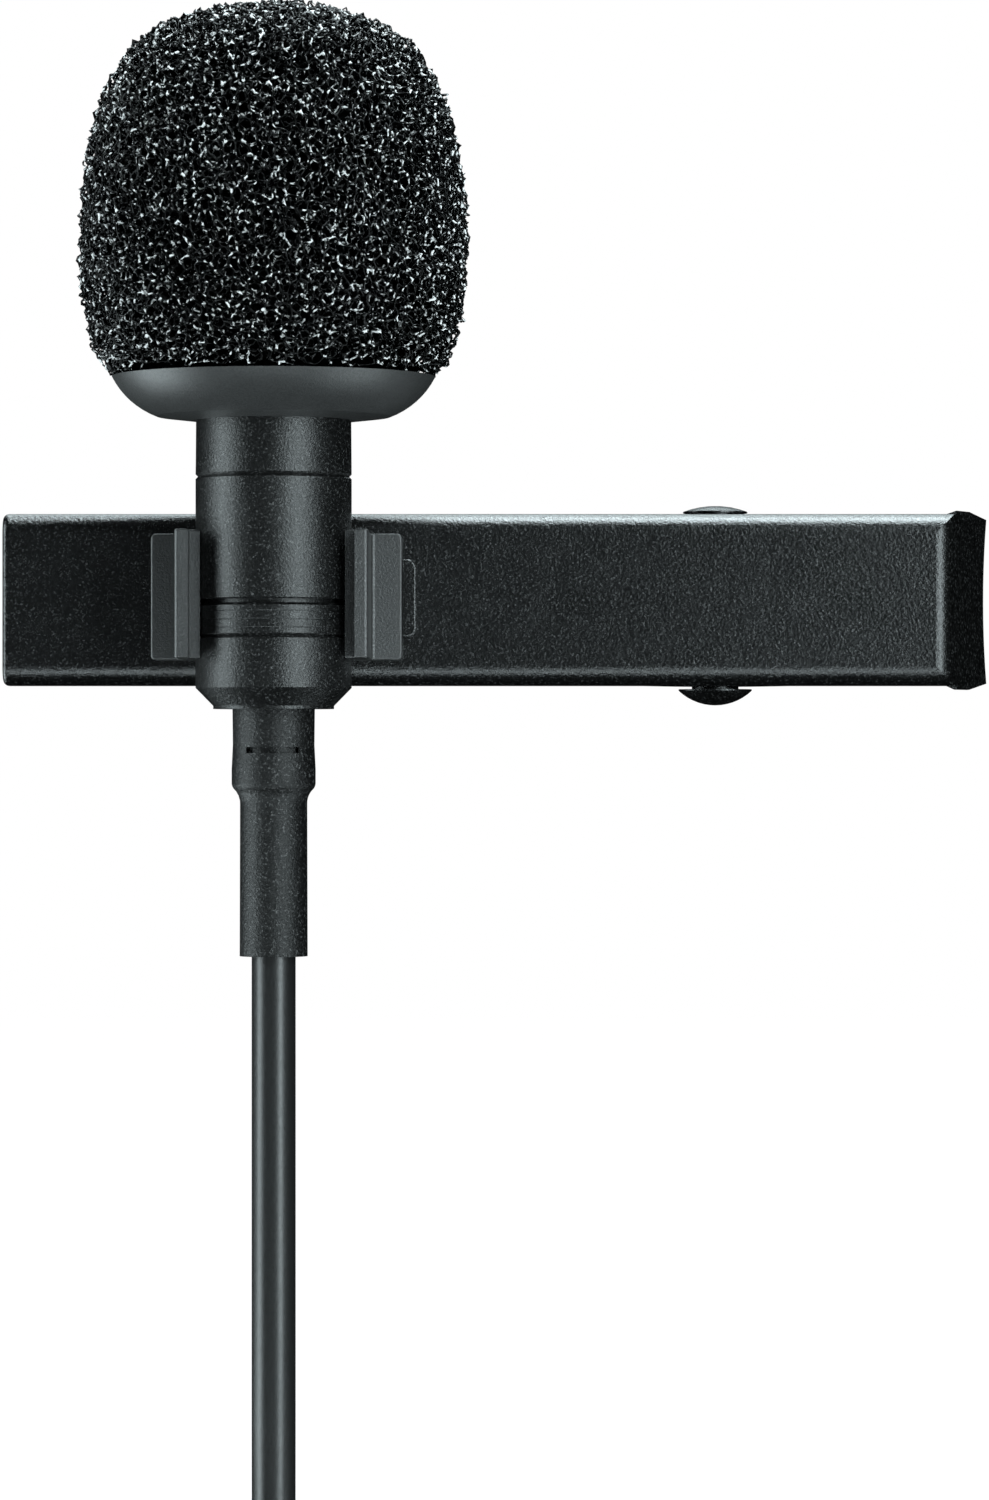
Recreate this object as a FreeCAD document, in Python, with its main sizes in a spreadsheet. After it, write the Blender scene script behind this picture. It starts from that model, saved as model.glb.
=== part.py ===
"""Lavalier microphone on a spring clip, with its cord coiled and tied below it.

The frame: the origin lies between the clip's teeth and its front plate, where the garment is held.
+X runs along the clip from the teeth to the thumb end, +Y from the wearer's front into the garment,
and +Z up. The microphone stands upright in a C-shaped holder riveted to the front plate.
"""

import FreeCAD, Part
import math
import os
import Sketcher

doc = FreeCAD.newDocument("LavalierMicrophone")
sheet = doc.addObject("Spreadsheet::Sheet", "Sizes")

# Driving dimensions, in millimetres and degrees.
SIZES = {
    # where things stand
    "mic_axis_x": 12.5,
    "mic_axis_y": -5.4,
    "pin_axis_x": 34.9,
    "pin_axis_y": 2.95,
    "holder_centre_z": 0.1,
    # microphone housing, by radius and by height
    "barrel_radius": 3.9,
    "neck_radius": 3.88,
    "seat_radius": 3.7,
    "ring_radius": 3.87,
    "joint_radius": 3.4,
    "capsule_bore": 3.25,
    "barrel_bore": 3.1,
    "spigot_radius": 3.06,
    "tail_bore": 2.55,
    "fit_gap": 0.02,
    "seam_chamfer": 0.12,
    "ring_line_width": 0.08,
    "ring_line_depth": 0.015,
    "ring_groove_width": 0.2,
    "ring_groove_depth": 0.35,
    "head_top": 15.4,
    "seat_height": 8.82,
    "upper_seam": 6.0,
    "joint_depth": 1.4,
    "ring_top": -0.35,
    "ring_bottom": -1.98,
    "spigot_top": 1.5,
    "tail_chamfer_top": -4.55,
    "tail_chamfer_end": -5.45,
    "tail_bottom": -5.6,
    "tail_floor": -4.6,
    "tail_end_radius": 3.02,
    # grille cap and what lies under it
    "grille_height": 2.0,
    "grille_wall": 0.55,
    "grille_hole": 0.45,
    "grille_hole_circle": 1.9,
    "grille_edge": 0.6,
    "mesh_thickness": 0.12,
    "felt_thickness": 0.3,
    # electret capsule, a standard 6 mm one
    "can_radius": 3.0,
    "can_top": 15.0,
    "can_bottom": 10.0,
    "can_wall": 0.25,
    "can_port": 1.0,
    "can_rim": 2.2,
    "inner_radius": 2.72,
    "diaphragm_thickness": 0.05,
    "spacer_thickness": 0.1,
    "diaphragm_ring_height": 0.3,
    "backplate_height": 0.4,
    "backplate_hole": 0.35,
    "board_thickness": 0.65,
    "transistor_height": 0.8,
    # windscreen
    "collar_bore": 3.76,
    "collar_stem": 4.6,
    "collar_stem_top": 14.5,
    "collar_hub": 4.1,
    "collar_foot": 5.85,
    "collar_foot_height": 9.02,
    "collar_rim": 8.08,
    "collar_rim_inner": 7.15,
    "collar_rim_height": 11.0,
    "collar_curve": 4.1,
    "collar_inner_curve": 2.87,
    "collar_floor": 10.1,
    "collar_floor_radius": 5.4,
    "foam_top": 29.6,
    "foam_radius": 9.65,
    "foam_cavity": 3.95,
    "foam_cavity_top": 18.2,
    # strain relief and cord
    "cord_radius": 1.1,
    "cord_inner_end": -1.0,
    "boot_bore": 1.13,
    "boot_flange": 2.4,
    "boot_flange_top": -3.6,
    "boot_neck": 1.58,
    "boot_radius": 2.06,
    "boot_bulge": 2.1,
    "boot_bulge_height": -8.6,
    "boot_step_top": -9.3,
    "boot_step_middle": -9.62,
    "boot_step_middle_radius": 1.965,
    "boot_step_bottom": -10.3,
    "boot_step_round": 0.45,
    "boot_step_hollow": 0.95,
    "boot_tip_radius": 1.68,
    "boot_bottom": -17.95,
    "boot_slot_height": -7.65,
    "boot_slot_width": 2.6,
    "boot_slot_gap": 0.3,
    "boot_slot_depth": 0.26,
    "crimp_radius": 1.6,
    "crimp_height": 1.9,
    "wire_radius": 0.35,
    "wire_spacing": 0.62,
    # C-shaped holder
    "holder_half_width": 6.36,
    "holder_back": 4.7,
    "holder_front": 3.6,
    "holder_height": 6.4,
    "holder_bore": 3.93,
    "holder_throat": 3.6,
    "holder_throat_depth": -1.576,
    "arm_outer": 4.8,
    "arm_inner": 4.12,
    "arm_tip_depth": -3.2,
    "arm_tip_round": 0.2,
    "arm_root_blend": 0.2,
    "holder_corner": 0.25,
    "holder_edge": 0.1,
    "rivet_radius": 0.8,
    "rivet_head": 1.3,
    "rivet_head_height": 0.35,
    # pressed front plate of the clip
    "plate_left": -1.5,
    "plate_right": 46.6,
    "plate_half_height": 4.385,
    "plate_sheet": 0.6,
    "plate_back": -0.1,
    "plate_flange": 1.6,
    "plate_bend": 1.0,
    "plate_cut_edge": 0.3,
    "end_slope": 0.5,
    "end_overlap": 0.4,
    "end_depth": 4.0,
    "end_flare_x": 47.1,
    "end_flare_far_x": 47.9,
    "end_flare_half": 4.56,
    "end_tip_half": 4.23,
    "end_hollow_radius": 45.0,
    "ear_half_foot": 4.0,
    "ear_half_top": 1.1,
    "ear_half_shoulder": 2.1,
    "ear_shoulder": 3.6,
    "ear_top": 4.5,
    "tab_left": 18.9,
    "tab_width": 0.7,
    "tab_bottom": -1.95,
    "tab_height": 4.0,
    "tab_rise": 0.6,
    "tab_corner": 0.5,
    "tab_edge": 0.15,
    # rear lever
    "lever_sheet": 0.55,
    "lever_inner": 4.8,
    "lever_half_width": 3.62,
    "lever_bend_x": 37.2,
    "thumb_end_x": 48.4,
    "thumb_end_y": 9.5,
    "thumb_start_x": 38.0,
    "thumb_flare_x": 41.0,
    "thumb_half": 3.95,
    "thumb_corner": 1.2,
    "tooth_tip": 0.05,
    "tooth_depth": 0.6,
    "tooth_pitch": 0.905,
    "lever_flange_start": 1.6,
    "lever_flange_edge": 3.9,
    "lever_ear_start": 28.0,
    "lever_ear_edge": 1.5,
    "lever_ear_left": 32.4,
    "lever_ear_right": 37.1,
    # pivot rivet and torsion spring
    "pin_radius": 0.75,
    "pin_hole": 0.78,
    "pin_neck": 1.2,
    "pin_neck_height": 0.12,
    "pin_head_edge": 0.08,
    "pin_top_head": 1.65,
    "pin_top_height": 0.5,
    "pin_bottom_head": 1.88,
    "pin_bottom_height": 0.95,
    "spring_radius": 1.35,
    "spring_wire": 0.22,
    "spring_pitch": 0.52,
    "spring_turns": 3.5,
    "spring_leg": 6.6,
    "spring_clearance": 0.15,
    # coil of cord and its tie
    "cord_bend_z": -51.0,
    "coil_centre_z": -70.5,
    "coil_outer": 17.2,
    "coil_inner": 6.0,
    "coil_depth": 8.8,
    "coil_entry_angle": 55.0,
    "coil_offset": 3.3,
    "tie_width": 5.0,
    "tie_thickness": 0.6,
    # 3.5 mm plug
    "plug_top": -97.0,
    "plug_relief_length": 8.0,
    "plug_relief_top": 1.75,
    "plug_relief_bottom": 2.7,
    "plug_handle_radius": 3.8,
    "plug_handle_length": 16.0,
    "plug_handle_wall": 0.8,
    "plug_shaft_radius": 1.75,
    "plug_shaft_length": 14.0,
    "plug_sleeve_length": 7.4,
    "plug_gap": 0.7,
    "plug_ring_length": 2.3,
    "plug_core": 0.8,
    "plug_collar_radius": 2.9,
    "plug_collar_height": 1.0,
}


class Size:
    """A number with the spreadsheet expression that gives it, so that properties can be bound to it."""

    def __init__(self, text, value):
        self.text, self.value = text, value

    def _join(self, sign, other, flip=False):
        other = other if isinstance(other, Size) else Size(repr(float(other)), float(other))
        left, right = (other, self) if flip else (self, other)
        value = {
            "+": lambda: left.value + right.value,
            "-": lambda: left.value - right.value,
            "*": lambda: left.value * right.value,
            "/": lambda: left.value / right.value,
        }[sign]()
        return Size(f"({left.text} {sign} {right.text})", value)

    def __add__(self, other):
        return self._join("+", other)

    def __radd__(self, other):
        return self._join("+", other, flip=True)

    def __sub__(self, other):
        return self._join("-", other)

    def __rsub__(self, other):
        return self._join("-", other, flip=True)

    def __mul__(self, other):
        return self._join("*", other)

    def __rmul__(self, other):
        return self._join("*", other, flip=True)

    def __truediv__(self, other):
        return self._join("/", other)

    def __neg__(self):
        return self._join("*", -1.0)


class Sizes:
    """The spreadsheet's cells as attributes."""


def fill_sheet():
    """Writes each size to a row of the sheet and gives its cell the size's name."""
    sizes = Sizes()
    for row, (name, value) in enumerate(SIZES.items(), start=1):
        sheet.set(f"A{row}", name)
        sheet.set(f"B{row}", str(value))
        sheet.setAlias(f"B{row}", name)
        setattr(sizes, name, Size(f"Sizes.{name}", float(value)))
    doc.recompute()
    return sizes


s = fill_sheet()
nodes = []


def number(size):
    return size.value if isinstance(size, Size) else float(size)


def bind(item, path, size):
    """Binds a property to a size, or sets it to a plain number."""
    if isinstance(size, Size):
        item.setExpression(path, size.text)
    else:
        item.setExpression(path, repr(float(size)))


def keep(item, label):
    """Names a finished sub-part and puts it on the list of those to write."""
    item.Label = label
    nodes.append(item)
    return item


def place(item, x=0, y=0, z=0):
    for axis, size in (("x", x), ("y", y), ("z", z)):
        if isinstance(size, Size) or size:
            bind(item, f"Placement.Base.{axis}", size)
    return item


# Sketches and bodies


def new_sketch(body, name, role):
    """A sketch on one of the body's own origin planes."""
    sketch = body.newObject("Sketcher::SketchObject", name)
    plane = next(f for f in body.Origin.OriginFeatures if f.Role == role)
    sketch.AttachmentSupport = (plane, "")
    sketch.MapMode = "FlatFace"
    return sketch


def arc_between(start, end, radius):
    """The arc from start to end, turning left if radius is positive and right if it is negative."""
    chord = end - start
    half = chord.Length / 2
    rise = math.sqrt(max(radius * radius - half * half, 0.0))
    left = FreeCAD.Vector(-chord.y, chord.x, 0).normalize()
    side = 1 if radius > 0 else -1
    centre = (start + end) / 2 + left * rise * side
    first, last = (start, end) if side > 0 else (end, start)
    turn = [math.atan2(p.y - centre.y, p.x - centre.x) for p in (first, last)]
    circle = Part.Circle(centre, FreeCAD.Vector(0, 0, 1), abs(radius))
    return Part.ArcOfCircle(circle, turn[0], turn[1])


def outline(sketch, corners):
    """A closed outline through corners (across, up) or (across, up, radius of the arc to the next one)."""
    points = [FreeCAD.Vector(number(c[0]), number(c[1]), 0) for c in corners]
    ends = []
    for i, corner in enumerate(corners):
        start, end = points[i], points[(i + 1) % len(points)]
        if len(corner) == 3:
            edge = sketch.addGeometry(arc_between(start, end, number(corner[2])), False)
            ends.append((edge, 1, 2) if number(corner[2]) > 0 else (edge, 2, 1))
            radius = corner[2] if number(corner[2]) > 0 else -corner[2]
            tie = sketch.addConstraint(Sketcher.Constraint("Radius", edge, number(radius)))
            bind(sketch, f"Constraints[{tie}]", radius)
        else:
            ends.append((sketch.addGeometry(Part.LineSegment(start, end), False), 1, 2))
    for i, (edge, first, last) in enumerate(ends):
        after, after_first, _ = ends[(i + 1) % len(ends)]
        sketch.addConstraint(Sketcher.Constraint("Coincident", edge, last, after, after_first))
        for kind, size in (("DistanceX", corners[i][0]), ("DistanceY", corners[i][1])):
            tie = sketch.addConstraint(Sketcher.Constraint(kind, -1, 1, edge, first, number(size)))
            if isinstance(size, Size):
                bind(sketch, f"Constraints[{tie}]", size)
    return sketch


def new_body(label):
    return doc.addObject("PartDesign::Body", label)


def revolve(body, corners, name="Profile"):
    """Turns an outline of (radius, height) corners about the body's Z axis."""
    sketch = outline(new_sketch(body, name, "XZ_Plane"), corners)
    feature = body.newObject("PartDesign::Revolution", "Turned")
    feature.Profile = sketch
    feature.ReferenceAxis = (sketch, ["V_Axis"])
    feature.Angle = 360
    return feature


def turned(label, corners, x=s.mic_axis_x, y=s.mic_axis_y):
    """A sub-part turned about a vertical axis at (x, y)."""
    body = new_body(label)
    revolve(body, corners)
    place(body, x, y)
    return keep(body, label)


def tube(label, outer, inner, bottom, top, x=s.mic_axis_x, y=s.mic_axis_y):
    return turned(label, [(inner, bottom), (outer, bottom), (outer, top), (inner, top)], x, y)


def disc(label, radius, bottom, top, x=s.mic_axis_x, y=s.mic_axis_y):
    return turned(label, [(0, bottom), (radius, bottom), (radius, top), (0, top)], x, y)


def ring_of_spots(radius, count):
    """Spots spaced evenly round a circle."""
    angles = [math.radians(360 * i / count) for i in range(count)]
    return [(radius * math.cos(a), radius * math.sin(a)) for a in angles]


def cut_holes(body, spots, radius):
    """Drills round holes through the body at (x, y) spots."""
    sketch = new_sketch(body, "Holes", "XY_Plane")
    for x, y in spots:
        centre = FreeCAD.Vector(number(x), number(y), 0)
        circle = sketch.addGeometry(Part.Circle(centre, FreeCAD.Vector(0, 0, 1), number(radius)), False)
        tie = sketch.addConstraint(Sketcher.Constraint("Radius", circle, number(radius)))
        bind(sketch, f"Constraints[{tie}]", radius)
        for kind, size in (("DistanceX", x), ("DistanceY", y)):
            tie = sketch.addConstraint(Sketcher.Constraint(kind, -1, 1, circle, 3, number(size)))
            if isinstance(size, Size):
                bind(sketch, f"Constraints[{tie}]", size)
    pocket = body.newObject("PartDesign::Pocket", "Drilled")
    pocket.Profile = sketch
    pocket.Type = "ThroughAll"
    pocket.Midplane = True
    return pocket


# Part primitives


def block(name, low, high):
    """A box between two corners given as sizes."""
    item = doc.addObject("Part::Box", name)
    for axis, side, a, b in zip("xyz", ("Length", "Width", "Height"), low, high):
        bind(item, f"Placement.Base.{axis}", a)
        bind(item, side, b - a if isinstance(b, Size) or isinstance(a, Size) else number(b) - number(a))
    return item


def prism(name, corners, low, high):
    """An outline in the XY plane, raised from low to high."""
    body = new_body(name)
    sketch = outline(new_sketch(body, f"{name}Outline", "XY_Plane"), corners)
    pad = body.newObject("PartDesign::Pad", f"{name}Pad")
    pad.Profile = sketch
    bind(pad, "Length", high - low)
    place(body, z=low)
    return body


def joined(name, shapes):
    item = doc.addObject("Part::MultiFuse", name)
    item.Shapes = shapes
    item.Refine = True
    return item


def without(name, base, tool):
    item = doc.addObject("Part::Cut", name)
    item.Base, item.Tool = base, tool
    item.Refine = True
    return item


def rounded(name, base, chosen, radius):
    """Rounds the edges of base whose ends chosen() accepts."""
    doc.recompute()
    item = doc.addObject("Part::Fillet", name)
    item.Base = base
    edges = []
    for i, edge in enumerate(base.Shape.Edges, start=1):
        if len(edge.Vertexes) == 2 and chosen(edge.Vertexes[0].Point, edge.Vertexes[1].Point):
            edges.append((i, number(radius), number(radius)))
    item.Edges = edges
    return item


def near(a, b, slack=1e-4):
    return abs(a - b) < slack


# The windscreen


def windscreen_collar():
    """A moulded cup with a stem that the foam is glued round. It rests on the head's shoulder."""
    turned(
        "windscreen_collar",
        [
            (s.collar_bore, s.seat_height),
            (s.collar_hub, s.seat_height),
            (s.collar_foot, s.collar_foot_height, s.collar_curve),
            (s.collar_rim, s.collar_rim_height),
            (s.collar_rim_inner, s.collar_rim_height, -s.collar_inner_curve),
            (s.collar_floor_radius, s.collar_floor),
            (s.collar_stem, s.collar_floor),
            (s.collar_stem, s.collar_stem_top),
            (s.collar_bore, s.collar_stem_top),
        ],
    )


def foam_windscreen():
    """A soft barrel of open-cell foam, hollow where the head and the collar's stem go in."""
    crown = [(0, 1), (0.49, 0.959), (0.75, 0.872), (0.89, 0.741), (0.956, 0.61)]
    waist = [(1, 0.37), (0.977, 0.174)]
    rim, floor = s.collar_rim_height.value, s.collar_floor.value + 0.05
    height = s.foam_top.value - rim
    outer = [FreeCAD.Vector(s.foam_radius.value * r, 0, rim + height * h) for r, h in crown + waist]
    outer.append(FreeCAD.Vector(s.collar_rim.value, 0, rim))
    curve = Part.BSplineCurve()
    flat, tucked_in = FreeCAD.Vector(1, 0, 0), FreeCAD.Vector(-0.75, 0, -1)
    curve.interpolate(Points=outer, InitialTangent=flat, FinalTangent=tucked_in)
    stem, cavity, gap = s.collar_stem.value + 0.02, s.foam_cavity.value, s.fit_gap.value
    corners = [
        (s.collar_rim.value, rim),
        (s.collar_rim_inner.value - gap, rim),
        (s.collar_floor_radius.value + 0.35, floor),
        (stem, floor),
        (stem, s.collar_stem_top.value + gap),
        (cavity, s.collar_stem_top.value + gap),
        (cavity, s.foam_cavity_top.value),
        (0, s.foam_cavity_top.value),
        (0, s.foam_top.value),
    ]
    points = [FreeCAD.Vector(r, 0, z) for r, z in corners]
    edges = [curve.toShape()] + [Part.makeLine(a, b) for a, b in zip(points, points[1:])]
    face = Part.Face(Part.Wire(Part.__sortEdges__(edges)))
    item = doc.addObject("Part::Feature", "foam_windscreen")
    item.Shape = face.revolve(FreeCAD.Vector(0, 0, 0), FreeCAD.Vector(0, 0, 1), 360)
    place(item, s.mic_axis_x, s.mic_axis_y)
    keep(item, "foam_windscreen")


# The microphone's head


def grille_cap():
    """A turned cap with six sound holes round a seventh."""
    top = s.head_top + s.grille_height
    body = new_body("grille_cap")
    revolve(
        body,
        [
            (s.capsule_bore, s.head_top),
            (s.seat_radius, s.head_top),
            (s.seat_radius, top - s.grille_edge, s.grille_edge),
            (s.seat_radius - s.grille_edge, top),
            (0, top),
            (0, top - s.grille_wall),
            (s.capsule_bore, top - s.grille_wall),
        ],
    )
    doc.recompute()
    cut_holes(body, [(0, 0)] + ring_of_spots(s.grille_hole_circle, 6), s.grille_hole)
    place(body, s.mic_axis_x, s.mic_axis_y)
    keep(body, "grille_cap")
    mesh_top = top - s.grille_wall
    disc("dust_mesh", s.capsule_bore - s.fit_gap, mesh_top - s.mesh_thickness, mesh_top)
    disc("felt_disc", s.can_radius - 0.05, s.can_top, s.can_top + s.felt_thickness)


def capsule():
    """The electret capsule, from its diaphragm down to its circuit board."""
    floor = s.can_bottom + s.can_wall
    ceiling = s.can_top - s.can_wall
    turned(
        "capsule_can",
        [
            (s.can_rim, s.can_bottom),
            (s.can_radius, s.can_bottom),
            (s.can_radius, s.can_top),
            (s.can_port, s.can_top),
            (s.can_port, ceiling),
            (s.can_radius - s.can_wall, ceiling),
            (s.can_radius - s.can_wall, floor),
            (s.can_rim, floor),
        ],
    )
    tube("capsule_gasket", s.capsule_bore, s.can_radius, s.can_bottom, s.can_top)
    ring_bottom = ceiling - s.diaphragm_ring_height
    tube("diaphragm_ring", s.inner_radius, s.inner_radius - 0.45, ring_bottom, ceiling)
    film_bottom = ring_bottom - s.diaphragm_thickness
    disc("diaphragm", s.inner_radius, film_bottom, ring_bottom)
    spacer_bottom = film_bottom - s.spacer_thickness
    tube("diaphragm_spacer", s.inner_radius, s.inner_radius - 0.4, spacer_bottom, film_bottom)
    plate_bottom = spacer_bottom - s.backplate_height
    plate = disc("backplate", s.inner_radius, plate_bottom, spacer_bottom)
    doc.recompute()
    cut_holes(plate, ring_of_spots(s.can_port, 4), s.backplate_hole)
    board_top = floor + s.board_thickness
    tube("backplate_insulator", s.inner_radius, s.can_rim, board_top, plate_bottom)
    disc("capsule_board", s.inner_radius, floor, board_top)
    half = s.transistor_height
    chip = block(
        "capsule_transistor",
        (s.mic_axis_x - half, s.mic_axis_y - half * 0.7, board_top),
        (s.mic_axis_x + half, s.mic_axis_y + half * 0.7, board_top + s.transistor_height),
    )
    keep(chip, "capsule_transistor")
    for label, side in (("signal_wire", 1), ("ground_wire", -1)):
        wire = doc.addObject("Part::Cylinder", label)
        bind(wire, "Radius", s.wire_radius)
        bind(wire, "Height", floor - s.cord_inner_end)
        place(wire, s.mic_axis_x + side * s.wire_spacing, s.mic_axis_y, s.cord_inner_end)
        keep(wire, label)


def housing():
    """Head sleeve, barrel, trim ring and tail, which screw together into one straight body."""
    joint_bottom = s.upper_seam - s.joint_depth
    turned(
        "head_sleeve",
        [
            (s.capsule_bore, s.can_bottom),
            (s.capsule_bore, s.head_top),
            (s.seat_radius, s.head_top),
            (s.seat_radius, s.seat_height),
            (s.neck_radius, s.seat_height),
            (s.barrel_radius, s.upper_seam + s.seam_chamfer),
            (s.barrel_radius - s.seam_chamfer, s.upper_seam),
            (s.joint_radius, s.upper_seam),
            (s.joint_radius, joint_bottom),
            (s.tail_bore, joint_bottom),
            (s.tail_bore, s.can_bottom),
        ],
    )
    thread = s.joint_radius + s.fit_gap
    turned(
        "main_barrel",
        [
            (s.barrel_bore, s.ring_top),
            (s.barrel_radius - s.ring_groove_depth, s.ring_top),
            (s.barrel_radius - s.ring_groove_depth, s.ring_top + s.ring_groove_width),
            (s.barrel_radius - s.seam_chamfer / 2, s.ring_top + s.ring_groove_width),
            (s.barrel_radius, s.ring_top + s.ring_groove_width + s.seam_chamfer / 2),
            (s.barrel_radius, s.upper_seam - s.seam_chamfer),
            (s.barrel_radius - s.seam_chamfer, s.upper_seam),
            (thread, s.upper_seam),
            (thread, joint_bottom),
            (s.barrel_bore, joint_bottom),
        ],
    )
    lines = []
    half_line = s.ring_line_width / 2
    for i in (1, 2, 3):
        height = s.ring_bottom + (s.ring_top - s.ring_bottom) * (0.25 * i)
        lines.append((s.ring_radius, height - half_line))
        lines.append((s.ring_radius - s.ring_line_depth, height))
        lines.append((s.ring_radius, height + half_line))
    turned(
        "trim_ring",
        [
            (s.barrel_bore, s.ring_bottom),
            (s.ring_radius - s.seam_chamfer, s.ring_bottom),
            (s.ring_radius, s.ring_bottom + s.seam_chamfer),
            *lines,
            (s.ring_radius, s.ring_top - s.seam_chamfer),
            (s.ring_radius - s.seam_chamfer * 1.4, s.ring_top),
            (s.barrel_bore, s.ring_top),
        ],
    )
    turned(
        "tail_housing",
        [
            (s.boot_neck + s.fit_gap, s.tail_bottom),
            (s.tail_end_radius, s.tail_bottom),
            (s.tail_end_radius, s.tail_chamfer_end),
            (s.barrel_radius, s.tail_chamfer_top),
            (s.barrel_radius, s.ring_bottom - s.seam_chamfer),
            (s.barrel_radius - s.seam_chamfer, s.ring_bottom),
            (s.spigot_radius, s.ring_bottom),
            (s.spigot_radius, s.spigot_top),
            (s.tail_bore, s.spigot_top),
            (s.tail_bore, s.tail_floor),
            (s.boot_neck + s.fit_gap, s.tail_floor),
        ],
    )


def strain_relief():
    """A rubber boot held in the tail by its flange, with a slot moulded in its front and back."""
    body = new_body("strain_relief")
    revolve(
        body,
        [
            (s.boot_bore, s.boot_bottom),
            (s.boot_tip_radius + 0.02, s.boot_bottom),
            (s.boot_tip_radius, s.boot_step_bottom, -s.boot_step_hollow),
            (s.boot_step_middle_radius, s.boot_step_middle, s.boot_step_round),
            (s.boot_bulge, s.boot_step_top),
            (s.boot_bulge, s.boot_bulge_height),
            (s.boot_radius - 0.02, s.boot_bulge_height + 1.2),
            (s.boot_radius, s.tail_bottom),
            (s.boot_neck, s.tail_bottom),
            (s.boot_neck, s.tail_floor),
            (s.boot_flange, s.tail_floor),
            (s.boot_flange, s.boot_flange_top),
            (s.boot_bore, s.boot_flange_top),
        ],
    )
    doc.recompute()
    plain = body.Shape.Volume
    sketch = new_sketch(body, "Slots", "XZ_Plane")
    half, gap = s.boot_slot_width / 2, s.boot_slot_gap / 2
    outline(
        sketch,
        [
            (-half, s.boot_slot_height - gap),
            (half, s.boot_slot_height - gap),
            (half, s.boot_slot_height + gap),
            (-half, s.boot_slot_height + gap),
        ],
    )
    slots = body.newObject("PartDesign::Pocket", "Slot")
    slots.Profile = sketch
    slots.Type = "ThroughAll"
    slots.Midplane = True
    core = body.newObject("PartDesign::AdditiveCylinder", "Core")
    bind(core, "Radius", s.boot_radius - s.boot_slot_depth)
    bind(core, "Height", s.boot_slot_gap)
    bind(core, "Placement.Base.z", s.boot_slot_height - gap)
    bore = body.newObject("PartDesign::SubtractiveCylinder", "Bore")
    bind(bore, "Radius", s.boot_bore)
    bind(bore, "Height", s.boot_slot_gap)
    bind(bore, "Placement.Base.z", s.boot_slot_height - gap)
    place(body, s.mic_axis_x, s.mic_axis_y)
    doc.recompute()
    assert 0 < plain - body.Shape.Volume < 3, "the slots cut too much or nothing"
    keep(body, "strain_relief")
    tube("cable_crimp", s.crimp_radius, s.boot_bore, s.boot_flange_top, s.boot_flange_top + s.crimp_height)


# The clip


def mic_holder():
    """A C-shaped spring holder that grips the barrel past its widest point, with a lip along each arm."""
    half, back, front = s.holder_half_width, s.holder_back, s.holder_front
    root = front - s.arm_root_blend
    tip, tip_round = s.arm_tip_depth, s.arm_tip_round
    right = [
        (half, back),
        (half, front),
        (s.arm_outer + s.arm_root_blend, front, s.arm_root_blend),
        (s.arm_outer, root),
        (s.arm_outer, tip + tip_round, -tip_round),
        (s.arm_outer - tip_round, tip),
        (s.arm_inner, tip),
        (s.arm_inner, s.holder_throat_depth),
        (s.holder_throat, s.holder_throat_depth, s.holder_bore),
        (s.holder_bore, 0, s.holder_bore),
        (0, s.holder_bore, s.holder_bore),
    ]
    left = [
        (-s.holder_bore, 0, s.holder_bore),
        (-s.holder_throat, s.holder_throat_depth),
        (-s.arm_inner, s.holder_throat_depth),
        (-s.arm_inner, tip),
        (tip_round - s.arm_outer, tip, -tip_round),
        (-s.arm_outer, tip + tip_round),
        (-s.arm_outer, root, s.arm_root_blend),
        (-s.arm_outer - s.arm_root_blend, front),
        (-half, front),
        (-half, back),
    ]
    body = new_body("mic_holder")
    sketch = outline(new_sketch(body, "Section", "XY_Plane"), right + left)
    pad = body.newObject("PartDesign::Pad", "Arms")
    pad.Profile = sketch
    bind(pad, "Length", s.holder_height)
    pad.Midplane = True
    doc.recompute()
    plain = body.Shape.Volume
    seat = new_sketch(body, "RivetSeat", "XY_Plane")
    head_floor = s.holder_bore + s.rivet_head_height + 0.05
    outline(
        seat,
        [
            (0, front),
            (s.rivet_head + 0.03, front),
            (s.rivet_head + 0.03, head_floor),
            (s.rivet_radius, head_floor),
            (s.rivet_radius, back + 0.1),
            (0, back + 0.1),
        ],
    )
    groove = body.newObject("PartDesign::Groove", "RivetHole")
    groove.Profile = seat
    groove.ReferenceAxis = (seat, ["V_Axis"])
    groove.Angle = 360
    doc.recompute()
    assert body.Shape.Volume < plain, "the rivet hole cut nothing"
    corners = []
    for i, edge in enumerate(body.Shape.Edges, start=1):
        a, b = (v.Point for v in (edge.Vertexes[0], edge.Vertexes[-1]))
        along_y = near(a.x, b.x) and near(a.z, b.z)
        if along_y and near(abs(a.x), half.value) and near(abs(a.z), s.holder_height.value / 2):
            corners.append(f"Edge{i}")
    blend = body.newObject("PartDesign::Fillet", "Corners")
    blend.Base = (groove, corners)
    bind(blend, "Radius", s.holder_corner)
    doc.recompute()
    rims = []
    for i, edge in enumerate(body.Shape.Edges, start=1):
        a, b = (v.Point for v in (edge.Vertexes[0], edge.Vertexes[-1]))
        level = near(a.z, b.z) and near(abs(a.z), s.holder_height.value / 2)
        if level and min(a.y, b.y) < back.value - 0.01:
            rims.append(f"Edge{i}")
    softened = body.newObject("PartDesign::Fillet", "Rims")
    softened.Base = (blend, rims)
    bind(softened, "Radius", s.holder_edge)
    place(body, s.mic_axis_x, s.mic_axis_y, s.holder_centre_z)
    keep(body, "mic_holder")


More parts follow.
